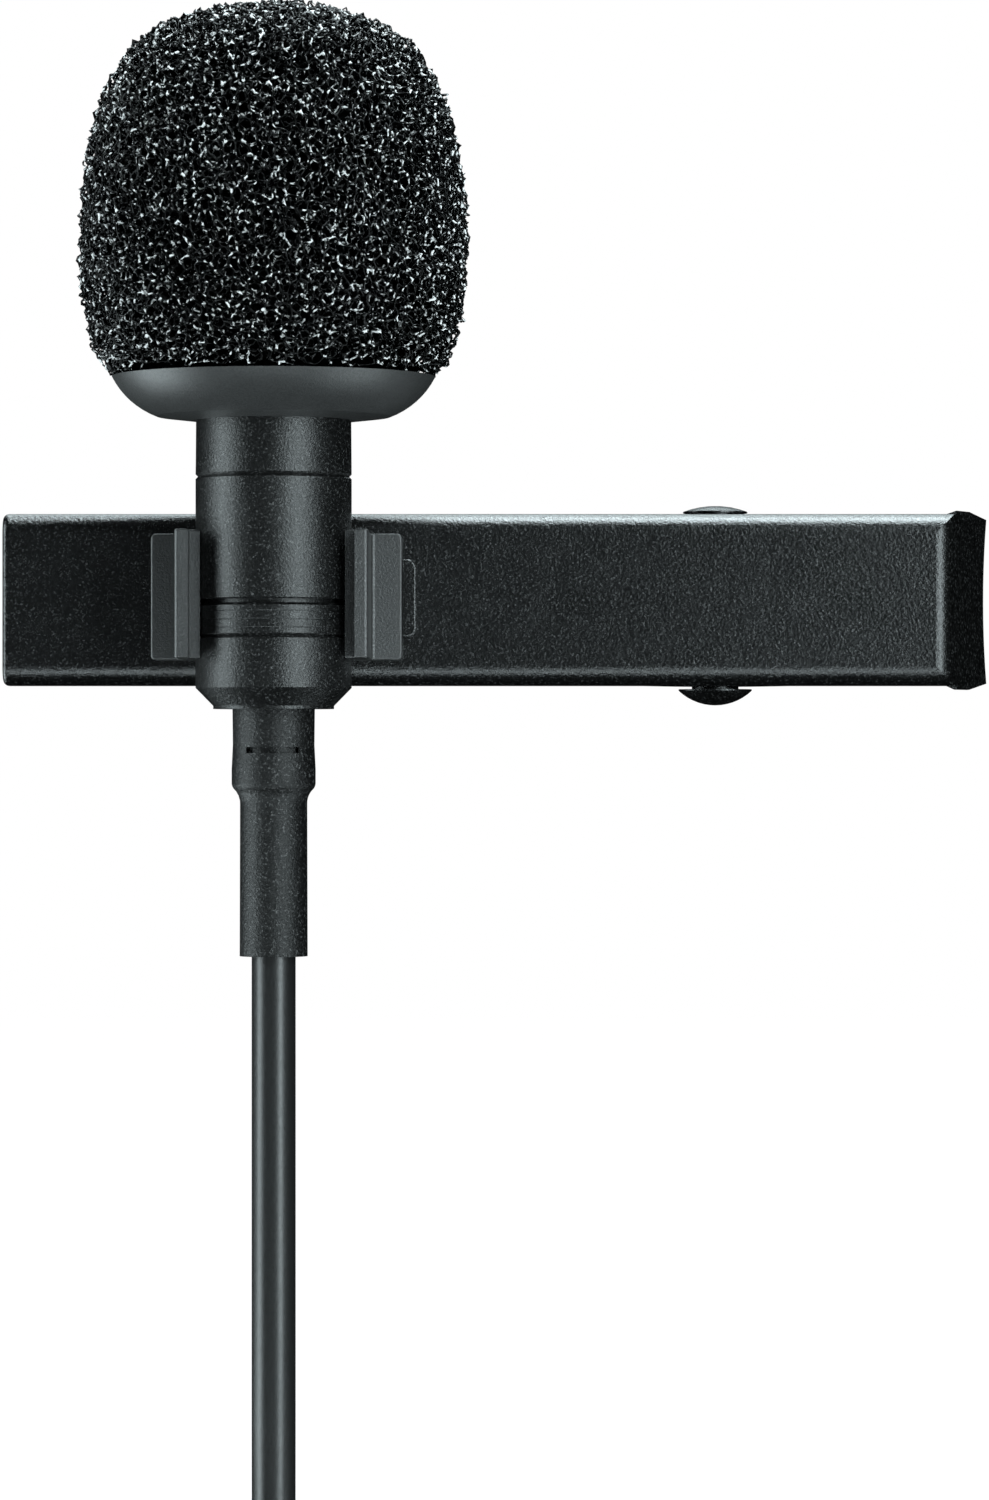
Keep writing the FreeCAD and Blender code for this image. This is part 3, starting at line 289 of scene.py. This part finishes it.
FOAM_STATIONS = [
    (0, 1),
    (0.25, 0.991),
    (0.49, 0.959),
    (0.64, 0.92),
    (0.75, 0.872),
    (0.89, 0.741),
    (0.956, 0.61),
    (0.99, 0.49),
    (1, 0.37),
    (0.996, 0.27),
    (0.977, 0.174),
    (0.93, 0.08),
    (0.838, 0),
]
FOAM_RADIUS = 9.65
FOAM_TOP = 29.6
FOAM_RIM = 11.0
STATION_STEPS = 12
CAP_SHARE = 0.86
CELLS = 4500
CELL_JITTER = 0.25
FOAM_LAYERS = 3
LAYER_SEED = 11
FIRST_DEPTH = 0.1
DEPTH_STEP = 0.34
LIFT_SPREAD = 0.12
LIFT_LOW, LIFT_HIGH = -0.28, 0.24
KNOT_SPREAD = 0.04
STRAND_THIN, STRAND_THICK = 0.07, 0.105
SPUR_SHARE = 0.08
SPUR_SHORT, SPUR_LONG = 0.06, 0.16
TAIL_SHARE = 0.45
TAIL_SHORT, TAIL_LONG = 0.2, 0.5
TAIL_SPREAD = 0.14
MISSING_SHARE = 0.09
BOW_SPREAD = 0.05
WAIST_THIN, WAIST_THICK = 0.62, 0.85
CORE_DEPTH = 1.15
CORE_SIDES = 220
CORE_ROUGHNESS = 0.08
CORE_SEED = 5
CORE_BORE = [
    (6.9, 11.05),
    (5.75, 10.2),
    (4.66, 10.2),
    (4.66, 14.55),
    (3.98, 14.55),
    (3.98, 18.2),
    (0.0, 18.2),
]


def foam_profile(offset=0.0):
    """A smooth line of (radius, height) points down the foam's side, with the normal at each."""
    spots = np.array(FOAM_STATIONS, float)
    spots[:, 0] *= FOAM_RADIUS
    spots[:, 1] = FOAM_RIM + (FOAM_TOP - FOAM_RIM) * spots[:, 1]
    mirrored = np.vstack([spots[1] * (-1, 1), spots, 2 * spots[-1] - spots[-2]])
    dense = []
    for i in range(1, len(mirrored) - 2):
        a, b, c, d = mirrored[i - 1 : i + 3]
        for step in range(STATION_STEPS):
            t = step / STATION_STEPS
            linear = (c - a) * t
            square = (2 * a - 5 * b + 4 * c - d) * t**2
            cube = (3 * b - a - 3 * c + d) * t**3
            dense.append(0.5 * (2 * b + linear + square + cube))
    dense.append(spots[-1])
    line = np.array(dense)
    line[:, 0] = np.maximum(line[:, 0], 0)
    slope = np.gradient(line, axis=0)
    normal = np.stack([-slope[:, 1], slope[:, 0]], axis=1)
    normal /= np.linalg.norm(normal, axis=1)[:, None]
    return line + normal * offset, normal


def foam_map(directions):
    """Spreads unit directions evenly over the foam's outside: places, normals, and which lie on it."""
    line, normal = foam_profile()
    lengths = np.linalg.norm(np.diff(line, axis=0), axis=1)
    area = np.concatenate([[0], np.cumsum(lengths * (line[1:, 0] + line[:-1, 0]) / 2)])
    share = (1 - directions[:, 2]) / 2 / CAP_SHARE
    wanted = np.minimum(share, 1) * area[-1]
    sources = (line[:, 0], line[:, 1], normal[:, 0], normal[:, 1])
    columns = [np.interp(wanted, area, source) for source in sources]
    around = np.arctan2(directions[:, 1], directions[:, 0])
    cos, sin = np.cos(around), np.sin(around)
    places = np.stack([columns[0] * cos, columns[0] * sin, columns[1]], axis=1)
    normals = np.stack([columns[2] * cos, columns[2] * sin, columns[3]], axis=1)
    return places, normals, share < 1


def cell_layout(seed):
    """Uneven cells over a sphere: their centres, and each knot's three cells and three neighbours."""
    noise = np.random.default_rng(seed)
    count = np.arange(CELLS) + 0.5
    up = 1 - 2 * count / CELLS
    around = count * math.pi * (3 - math.sqrt(5)) + seed
    level = np.sqrt(1 - up * up)
    centres = np.stack([level * np.cos(around), level * np.sin(around), up], axis=1)
    centres += noise.normal(0, CELL_JITTER * math.sqrt(4 * math.pi / CELLS), centres.shape)
    centres /= np.linalg.norm(centres, axis=1)[:, None]
    hull = bmesh.new()
    for spot in centres:
        hull.verts.new(spot)
    bmesh.ops.convex_hull(hull, input=hull.verts)
    loose = [v for v in hull.verts if not v.link_faces]
    bmesh.ops.delete(hull, geom=loose, context="VERTS")
    bmesh.ops.triangulate(hull, faces=hull.faces)
    bmesh.ops.recalc_face_normals(hull, faces=hull.faces)
    hull.verts.index_update()
    hull.faces.index_update()
    centres = np.array([v.co for v in hull.verts])
    cells = np.array([[loop.vert.index for loop in face.loops] for face in hull.faces])
    beside = [[loop.link_loop_radial_next.face.index for loop in face.loops] for face in hull.faces]
    hull.free()
    return centres, cells, beside


def foam_net(name, seed, depth):
    """One layer of open foam: bowed three-sided strands along the edges of uneven cells."""
    centres, cells, beside = cell_layout(seed)
    noise = np.random.default_rng(seed + 1)
    knots = centres[cells].mean(axis=1)
    knots /= np.linalg.norm(knots, axis=1)[:, None]
    middle, _, _ = foam_map(centres)
    place, normal, inside = foam_map(knots)
    size = len(place)
    lift = np.clip(noise.normal(0, LIFT_SPREAD, size), LIFT_LOW, LIFT_HIGH)
    place = place + normal * (lift - depth)[:, None] + noise.normal(0, KNOT_SPREAD, place.shape)
    width = noise.uniform(STRAND_THIN, STRAND_THICK, size)
    spur = np.where(noise.random(size) < SPUR_SHARE, noise.uniform(SPUR_SHORT, SPUR_LONG, size), 0.0)
    top = place + normal * (width * 0.8 + spur)[:, None]
    root = place - normal * (width * 0.45)[:, None]
    tail = np.where(noise.random(size) < TAIL_SHARE, noise.uniform(TAIL_SHORT, TAIL_LONG, size), 0.0)
    tails = place - normal * tail[:, None] + noise.normal(0, TAIL_SPREAD, place.shape)
    verts, faces, slots = [], [], {}

    def shared(key, spot):
        if key not in slots:
            slots[key] = len(verts)
            verts.append(spot)
        return slots[key]

    def corner(knot, cell):
        towards = middle[cell] - place[knot]
        towards = towards - normal[knot] * np.dot(towards, normal[knot])
        towards /= np.linalg.norm(towards) + 1e-9
        return shared((knot, cell), root[knot] + towards * width[knot])

    def peak(knot):
        return shared(knot, top[knot])

    missing = set()
    for knot in range(size):
        for other in beside[knot]:
            if knot < other and (not (inside[knot] and inside[other]) or noise.random() < MISSING_SHARE):
                missing.add((knot, other))
    for knot in range(size):
        links = [(min(knot, other), max(knot, other)) for other in beside[knot]]
        if not inside[knot] or all(link in missing for link in links):
            continue
        low = [corner(knot, cell) for cell in cells[knot]]
        for i, other in enumerate(beside[knot]):
            a, b = cells[knot][i], cells[knot][(i + 1) % 3]
            start = (peak(knot), corner(knot, a), corner(knot, b))
            if links[i] in missing:
                faces.append(start)
            elif knot < other:
                far = (peak(other), corner(other, a), corner(other, b))
                bow = noise.normal(0, BOW_SPREAD, 3)
                waist = noise.uniform(WAIST_THIN, WAIST_THICK)
                spots = [(verts[p] + verts[q]) / 2 for p, q in zip(start, far)]
                centre = sum(spots) / 3
                ring = [len(verts) + k for k in range(3)]
                verts.extend(centre + bow + (spot - centre) * waist for spot in spots)
                for near, end in ((start, ring), (ring, far)):
                    for p, q in ((0, 1), (1, 2), (2, 0)):
                        faces.append((near[p], near[q], end[q], end[p]))
        if tail[knot] > 0:
            tip = len(verts)
            verts.append(tails[knot])
            faces += [(low[1], low[0], tip), (low[2], low[1], tip), (low[0], low[2], tip)]
        else:
            faces.append((low[2], low[1], low[0]))
    return new_mesh(name, about_axis(verts), faces)


def foam_core():
    """The dark inside of the foam, uneven on its outside and hollow for the head: partly the foam's own
    black, partly painted shade for its deeper layers.
    """
    line, _ = foam_profile(-CORE_DEPTH)
    outside = [tuple(spot) for spot in line[::2]]
    rings = outside + CORE_BORE
    noise = np.random.default_rng(CORE_SEED)
    verts, faces = [], []
    for i, (radius, height) in enumerate(rings):
        for j in range(CORE_SIDES):
            angle = 2 * math.pi * j / CORE_SIDES
            rough = noise.normal(0, CORE_ROUGHNESS) if 1 < i < len(outside) - 1 else 0.0
            reach = radius + rough
            verts.append((reach * math.cos(angle), reach * math.sin(angle), height + rough))
    for i in range(len(rings) - 1):
        this, below = i * CORE_SIDES, (i + 1) * CORE_SIDES
        for j in range(CORE_SIDES):
            k = (j + 1) % CORE_SIDES
            faces.append((this + j, below + j, below + k, this + k))
    core = new_mesh("foam_core", about_axis(verts), faces)
    fused = bmesh.new()
    fused.from_mesh(core.data)
    bmesh.ops.remove_doubles(fused, verts=fused.verts, dist=1e-6)
    fused.to_mesh(core.data)
    fused.free()
    return core


def add_foam():
    """Layers of strands, each deeper and with its own draw, over the dark core, which is black foam and
    painted shade.
    """
    layers = []
    for i in range(FOAM_LAYERS):
        layers.append(foam_net(f"foam_strands_{i + 1}", LAYER_SEED * (i + 1), FIRST_DEPTH + DEPTH_STEP * i))
    core = foam_core()
    strands = foam_material()
    for piece, material in [(layer, strands) for layer in layers] + [(core, core_material())]:
        smooth(piece)
        piece.data.materials.append(material)
        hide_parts("foam_windscreen")
        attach(piece, "windscreen")


def foam_material():
    """Black strands with short pale stretches that are painted glints."""
    look = Shader("foam_strands", grey(0.002), 0.2, specular=0.14)
    painted_glints = look.noise(0.3, detail=1.0)
    # Painted highlight: pale patches in the base colour stand for glints of light on the strands.
    look.color(look.ramp(painted_glints, [(0.55, grey(0.0005)), (0.6, grey(0.015)), (0.65, grey(0.65))]))
    return look.material


def core_material():
    # Partly painted shade: a black core that reflects nothing stands for the shaded depths of the foam as
    # well as its own black.
    look = Shader("foam_inside_black_and_shade", grey(0.001), 1.0, specular=0.0)
    fleck = look.cells(0.4)
    look.color(look.ramp(fleck, [(0.1, grey(0.003)), (0.6, grey(0.0005))]))
    look.bump(fleck, 0.15)
    return look.material


# The tie round the coil, in millimetres from the coil's middle

TIE_LEFT = -17.2 - 0.08
TIE_RIGHT = -6.0 + 0.25
TIE_HIGH = 4.4 + 0.08
TIE_CORNER = 1.15
TIE_CORNER_STEPS = 6
TIE_STEP = 0.35
TIE_OVERLAP = 14
TIE_RISE = 4
TIE_WIDTH = 5.0
TIE_WALL = 0.5
TIE_LAP_GAP = 0.05
TIE_CROWN = 0.08
TIE_HEM_SHARE = 0.55
TIE_ACROSS = [-0.5, -0.46, -0.3, -0.1, 0.1, 0.3, 0.46, 0.5]


def tie_path():
    """The band's closed line round the turns: a rectangle with rounded corners."""
    path = []
    corners = [(TIE_LEFT, -TIE_HIGH), (TIE_RIGHT, -TIE_HIGH), (TIE_RIGHT, TIE_HIGH), (TIE_LEFT, TIE_HIGH)]
    for (x, y), start in zip(corners, (180, 270, 0, 90)):
        centre_x = x + TIE_CORNER if x == TIE_LEFT else x - TIE_CORNER
        centre_y = y + TIE_CORNER if y == -TIE_HIGH else y - TIE_CORNER
        for step in range(TIE_CORNER_STEPS + 1):
            angle = math.radians(start + 90 * step / TIE_CORNER_STEPS)
            path.append((centre_x + TIE_CORNER * math.cos(angle), centre_y + TIE_CORNER * math.sin(angle)))
    return path + path[:1]


def add_tie():
    """A woven band wrapped once round the turns, its end lying over its start."""
    line = resample(tie_path(), TIE_STEP)
    route = line + line[1 : TIE_OVERLAP + 1]
    verts, faces = [], []
    for i, (x, y) in enumerate(route):
        before, after = route[max(i - 1, 0)], route[min(i + 1, len(route) - 1)]
        along = Vector((after[0] - before[0], after[1] - before[1])).normalized()
        out = Vector((along.y, -along.x))
        lap = min(max((i - len(line) + TIE_RISE) / TIE_RISE, 0), 1) * (TIE_WALL + TIE_LAP_GAP)
        for share in TIE_ACROSS:
            crown = TIE_CROWN * (1 - (2 * share) ** 2)
            thick = TIE_WALL * (TIE_HEM_SHARE if abs(share) > 0.49 else 1.0)
            inner, outer = lap + (TIE_WALL - thick) / 2, lap + (TIE_WALL + thick) / 2 + crown
            for level in (inner, outer):
                side, front = x + out.x * level, y + out.y * level
                verts.append((AXIS_X + side, AXIS_Y + front, COIL_Z + share * TIE_WIDTH))
    count = len(TIE_ACROSS)
    row = 2 * count
    loop = [2 * j for j in range(count)] + [2 * j + 1 for j in reversed(range(count))]
    for i in range(len(route) - 1):
        for a, b in zip(loop, loop[1:] + loop[:1]):
            faces.append((i * row + a, i * row + b, (i + 1) * row + b, (i + 1) * row + a))
    last = (len(route) - 1) * row
    faces.append(tuple(reversed(loop)))
    faces.append(tuple(last + a for a in loop))
    tie = smooth(new_mesh("tie_band", np.array(verts) * MM, faces))
    tie.data.set_sharp_from_angle(angle=math.radians(50))
    tie.data.materials.append(tie_material())
    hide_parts("cable_tie")
    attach(tie, "microphone")
    return tie


def resample(path, step):
    """The same line with evenly spaced points."""
    points = np.array(path)
    lengths = np.concatenate([[0], np.cumsum(np.linalg.norm(np.diff(points, axis=0), axis=1))])
    count = round(lengths[-1] / step)
    wanted = np.linspace(0, lengths[-1], count + 1)
    across, up = (np.interp(wanted, lengths, points[:, i]) for i in range(2))
    return list(zip(across.tolist(), up.tolist()))


def tie_material():
    look = Shader("tie_fabric", grey(0.02), 0.85, specular=0.25)
    look.shader.inputs["Sheen Weight"].default_value = 0.3
    wave = look.add("ShaderNodeTexWave", wave_type="BANDS", bands_direction="Z")
    wave.inputs["Scale"].default_value = 220.0
    wave.inputs["Distortion"].default_value = 1.5
    look.link(look.place, wave, "Vector")
    fluff = look.noise(0.25, detail=3.0)
    mixed = look.combine(wave.outputs["Fac"], fluff, "MULTIPLY")
    look.color(look.ramp(mixed, [(0.1, grey(0.012)), (0.6, grey(0.045))]))
    look.bump(mixed, 0.12)
    return look.material


# Finishes of the CAD pieces


def cord_material():
    look = Shader("cord_jacket", grey(0.007), 0.3, specular=0.5)
    fine = look.noise(0.12, detail=2.0)
    look.roughness(look.scaled(fine, 0.3, 0.7, 0.3, 0.42))
    look.bump(fine, 0.004)
    return look.material


def metal(name, color, roughness):
    look = Shader(name, color, roughness, metallic=1.0)
    fine = look.noise(0.5, detail=3.0, vector=look.stretched((1, 1, 12)))
    look.roughness(look.scaled(fine, 0.3, 0.7, roughness - 0.06, roughness + 0.1))
    look.bump(fine, 0.002)
    return look.material


def plain(name, color, roughness, specular=0.5):
    look = Shader(name, color, roughness, specular=specular)
    fine = look.noise(0.3, detail=3.0)
    look.roughness(look.scaled(fine, 0.3, 0.7, roughness - 0.08, roughness + 0.08))
    look.bump(fine, 0.01)
    return look.material


def add_finishes():
    """Gives every CAD piece its material."""
    body = grained("mic_body", grey(0.0005), grey(0.006), 0.12, 0.31, 0.03, specular=0.4, fleck=grey(0.08))
    dress(body, "head_sleeve", "main_barrel", "trim_ring", "tail_housing", "grille_cap")
    dress(grained("collar_plastic", grey(0.016), grey(0.028), 0.1, 0.4, 0.015), "windscreen_collar")
    rubber = grained("rubber", grey(0.0005), grey(0.005), 0.13, 0.38, 0.05, specular=0.26, fleck=grey(0.08))
    dress(rubber, "strain_relief", "plug_strain_relief", "capsule_gasket")
    clip = grained("clip_metal", grey(0.0005), grey(0.004), 0.15, 0.22, 0.035, fleck=grey(0.035))
    dress(clip, "clip_front_plate", "clip_rear_lever", "clip_pivot_pin")
    dim, pale = grey(0.006), grey(0.04)
    holder = grained("holder_metal", dim, grey(0.014), 0.12, 0.44, 0.03, specular=0.85, fleck=pale)
    dress(holder, "mic_holder")
    steel = metal("spring_steel", grey(0.35), 0.3)
    dress(steel, "clip_torsion_spring", "holder_rivet", "cable_crimp", "dust_mesh")
    gold = metal("contact_gold", (0.83, 0.62, 0.3), 0.22)
    dress(gold, "plug_sleeve", "plug_ring", "plug_tip", "diaphragm_ring", "backplate")
    dress(metal("capsule_metal", grey(0.75), 0.28), "capsule_can")
    dark = plain("insulator", grey(0.012), 0.4)
    dress(dark, "plug_insulator_upper", "plug_insulator_lower", "diaphragm_spacer", "backplate_insulator")
    dress(dark, "capsule_transistor", "ground_wire")
    dress(plain("felt", grey(0.02), 0.9, 0.1), "felt_disc")
    dress(plain("clear_film", grey(0.7), 0.15), "diaphragm")
    dress(plain("circuit_board", (0.02, 0.16, 0.06), 0.35), "capsule_board")
    dress(plain("red_wire", (0.45, 0.02, 0.02), 0.4), "signal_wire")
    dress(plain("plug_shell", grey(0.016), 0.3), "plug_handle")


# Stage: places and sizes in metres, power in watts

FLOOR_REACH = 3.0
FLOOR_LEVEL = -0.165
LIGHT_COLOR = (0.84, 0.97, 1.0)
MIDDLE = (0.015, -0.004, -0.005)
SOFTBOXES = [
    ("key_right", (0.27, -0.32, 0.08), MIDDLE, (0.16, 0.5), 2.6),
    ("strip_left", (-0.41, -0.09, 0.05), MIDDLE, (0.2, 0.6), 2.9),
    ("overhead", (0.07, 0.02, 0.42), (0.02, 0.01, 0.0), (0.32, 0.14), 3.6),
    ("front_fill", (-0.05, -0.75, 0.12), MIDDLE, (0.7, 0.5), 0.08),
    ("low_front", (0.03, -0.34, -0.245), MIDDLE, (0.5, 0.06), 1.1),
    ("low_left", (-0.30, 0.07, -0.19), MIDDLE, (0.2, 0.2), 0.9),
    ("low_right", (0.30, -0.06, -0.26), MIDDLE, (0.2, 0.2), 0.6),
    ("back_fill", (0.05, 0.5, 0.46), MIDDLE, (0.6, 0.3), 2.4),
]


def add_stage():
    """A plain white floor, below the hanging plug."""
    signs = [(-1, -1), (1, -1), (1, 1), (-1, 1)]
    corners = [(x * FLOOR_REACH, y * FLOOR_REACH, FLOOR_LEVEL) for x, y in signs]
    floor = new_mesh("studio_floor", corners, [(0, 1, 2, 3)])
    paint = Shader("studio_paint", grey(0.8), 0.9, specular=0.1)
    paint.shader.inputs["Emission Color"].default_value = (1, 1, 1, 1)
    paint.shader.inputs["Emission Strength"].default_value = 1.0
    floor.data.materials.append(paint.material)
    floor.visible_diffuse = False
    floor.visible_glossy = False
    floor.visible_shadow = False


def area_light(name, spot, target, size, power):
    data = bpy.data.lights.new(name, "AREA")
    data.shape = "RECTANGLE"
    data.size, data.size_y = size
    data.energy = power
    data.color = LIGHT_COLOR
    light = bpy.data.objects.new(name, data)
    light.location = spot
    light.rotation_euler = (Vector(target) - Vector(spot)).to_track_quat("-Z", "Y").to_euler()
    light.visible_camera = False
    bpy.context.scene.collection.objects.link(light)


def add_light():
    """A white surround that only the camera sees, and softboxes round the object."""
    scene = bpy.context.scene
    scene.view_settings.view_transform = "Standard"
    world = bpy.data.worlds.new("studio")
    world.use_nodes = True
    world.node_tree.nodes["Background"].inputs["Color"].default_value = (1, 1, 1, 1)
    scene.world = world
    for kind in ("diffuse", "glossy", "transmission", "scatter"):
        setattr(world.cycles_visibility, kind, False)
    for softbox in SOFTBOXES:
        area_light(*softbox)


add_camera()
lead = add_cord()
lead.data.materials.append(cord_material())
tie = add_tie()
add_foam()
add_finishes()
add_stage()
add_light()

bpy.context.view_layer.update()
